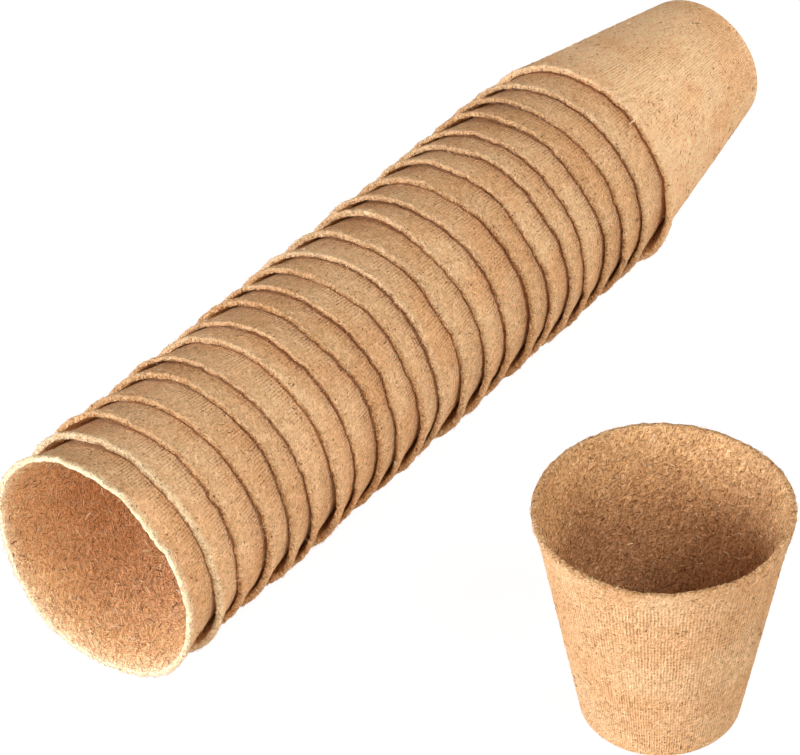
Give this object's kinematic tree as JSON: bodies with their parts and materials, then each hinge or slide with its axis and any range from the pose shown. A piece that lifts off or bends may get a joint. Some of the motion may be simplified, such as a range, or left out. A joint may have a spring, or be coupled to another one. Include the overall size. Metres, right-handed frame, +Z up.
{
  "type": "peat pot",
  "caption": "Round tapered seedling pots of moulded peat fibre with a flared rim: a lying nested stack that draws apart pot by pot, and a pot standing beside it.",
  "frame": {"origin": "on the ground, under the centre of the whole set's footprint", "axes": "+X along the lying stack, from its open mouth to the closed base of its outermost pot; +Y from the standing pot to the stack; +Z up"},
  "size_m": [0.3388, 0.234, 0.08],
  "materials": {
    "peat_fibre": "dry moulded peat and wood fibre, matt, with a fine mesh imprint outside, felted and redder inside, a paler felted rim, and dark specks"
  },
  "bodies": {
    "nested_pot_01": {"nested_pot_01": "peat_fibre"},
    "nested_pot_02": {"nested_pot_02": "peat_fibre"},
    "nested_pot_03": {"nested_pot_03": "peat_fibre"},
    "nested_pot_04": {"nested_pot_04": "peat_fibre"},
    "nested_pot_05": {"nested_pot_05": "peat_fibre"},
    "nested_pot_06": {"nested_pot_06": "peat_fibre"},
    "nested_pot_07": {"nested_pot_07": "peat_fibre"},
    "nested_pot_08": {"nested_pot_08": "peat_fibre"},
    "nested_pot_09": {"nested_pot_09": "peat_fibre"},
    "nested_pot_10": {"nested_pot_10": "peat_fibre"},
    "nested_pot_11": {"nested_pot_11": "peat_fibre"},
    "nested_pot_12": {"nested_pot_12": "peat_fibre"},
    "nested_pot_13": {"nested_pot_13": "peat_fibre"},
    "nested_pot_14": {"nested_pot_14": "peat_fibre"},
    "nested_pot_15": {"nested_pot_15": "peat_fibre"},
    "nested_pot_16": {"nested_pot_16": "peat_fibre"},
    "nested_pot_17": {"nested_pot_17": "peat_fibre"},
    "nested_pot_18": {"nested_pot_18": "peat_fibre"},
    "nested_pot_19": {"nested_pot_19": "peat_fibre"},
    "nested_pot_20": {"nested_pot_20": "peat_fibre"},
    "nested_pot_21": {"nested_pot_21": "peat_fibre"},
    "nested_pot_22": {"nested_pot_22": "peat_fibre"},
    "nested_pot_23": {"nested_pot_23": "peat_fibre"},
    "standing_pot": {"standing_pot": "peat_fibre"}
  },
  "joints": [
    {"name": "draw_out_02", "type": "slide", "parent": "nested_pot_01", "child": "nested_pot_02", "axis": [-1, 0, 0], "range_m": [0, 0.0762]},
    {"name": "draw_out_03", "type": "slide", "parent": "nested_pot_02", "child": "nested_pot_03", "axis": [-1, 0, 0], "range_m": [0, 0.0787]},
    {"name": "draw_out_04", "type": "slide", "parent": "nested_pot_03", "child": "nested_pot_04", "axis": [-1, 0, 0], "range_m": [0, 0.0791]},
    {"name": "draw_out_05", "type": "slide", "parent": "nested_pot_04", "child": "nested_pot_05", "axis": [-1, 0, 0], "range_m": [0, 0.0786]},
    {"name": "draw_out_06", "type": "slide", "parent": "nested_pot_05", "child": "nested_pot_06", "axis": [-1, 0, 0], "range_m": [0, 0.0802]},
    {"name": "draw_out_07", "type": "slide", "parent": "nested_pot_06", "child": "nested_pot_07", "axis": [-1, 0, 0], "range_m": [0, 0.0785]},
    {"name": "draw_out_08", "type": "slide", "parent": "nested_pot_07", "child": "nested_pot_08", "axis": [-1, 0, 0], "range_m": [0, 0.0792]},
    {"name": "draw_out_09", "type": "slide", "parent": "nested_pot_08", "child": "nested_pot_09", "axis": [-1, 0, 0], "range_m": [0, 0.0764]},
    {"name": "draw_out_10", "type": "slide", "parent": "nested_pot_09", "child": "nested_pot_10", "axis": [-1, 0, 0], "range_m": [0, 0.0786]},
    {"name": "draw_out_11", "type": "slide", "parent": "nested_pot_10", "child": "nested_pot_11", "axis": [-1, 0, 0], "range_m": [0, 0.0771]},
    {"name": "draw_out_12", "type": "slide", "parent": "nested_pot_11", "child": "nested_pot_12", "axis": [-1, 0, 0], "range_m": [0, 0.0772]},
    {"name": "draw_out_13", "type": "slide", "parent": "nested_pot_12", "child": "nested_pot_13", "axis": [-1, 0, 0], "range_m": [0, 0.0794]},
    {"name": "draw_out_14", "type": "slide", "parent": "nested_pot_13", "child": "nested_pot_14", "axis": [-1, 0, 0], "range_m": [0, 0.0779]},
    {"name": "draw_out_15", "type": "slide", "parent": "nested_pot_14", "child": "nested_pot_15", "axis": [-1, 0, 0], "range_m": [0, 0.0804]},
    {"name": "draw_out_16", "type": "slide", "parent": "nested_pot_15", "child": "nested_pot_16", "axis": [-1, 0, 0], "range_m": [0, 0.0776]},
    {"name": "draw_out_17", "type": "slide", "parent": "nested_pot_16", "child": "nested_pot_17", "axis": [-1, 0, 0], "range_m": [0, 0.0802]},
    {"name": "draw_out_18", "type": "slide", "parent": "nested_pot_17", "child": "nested_pot_18", "axis": [-1, 0, 0], "range_m": [0, 0.0765]},
    {"name": "draw_out_19", "type": "slide", "parent": "nested_pot_18", "child": "nested_pot_19", "axis": [-1, 0, 0], "range_m": [0, 0.0804]},
    {"name": "draw_out_20", "type": "slide", "parent": "nested_pot_19", "child": "nested_pot_20", "axis": [-1, 0, 0], "range_m": [0, 0.0773]},
    {"name": "draw_out_21", "type": "slide", "parent": "nested_pot_20", "child": "nested_pot_21", "axis": [-1, 0, 0], "range_m": [0, 0.0771]},
    {"name": "draw_out_22", "type": "slide", "parent": "nested_pot_21", "child": "nested_pot_22", "axis": [-1, 0, 0], "range_m": [0, 0.0778]},
    {"name": "draw_out_23", "type": "slide", "parent": "nested_pot_22", "child": "nested_pot_23", "axis": [-1, 0, 0], "range_m": [0, 0.0765]},
    {"name": "lift_standing_pot", "type": "slide", "parent": "nested_pot_01", "child": "standing_pot", "axis": [0, 0, 1], "range_m": [0, 0.1]}
  ]
}
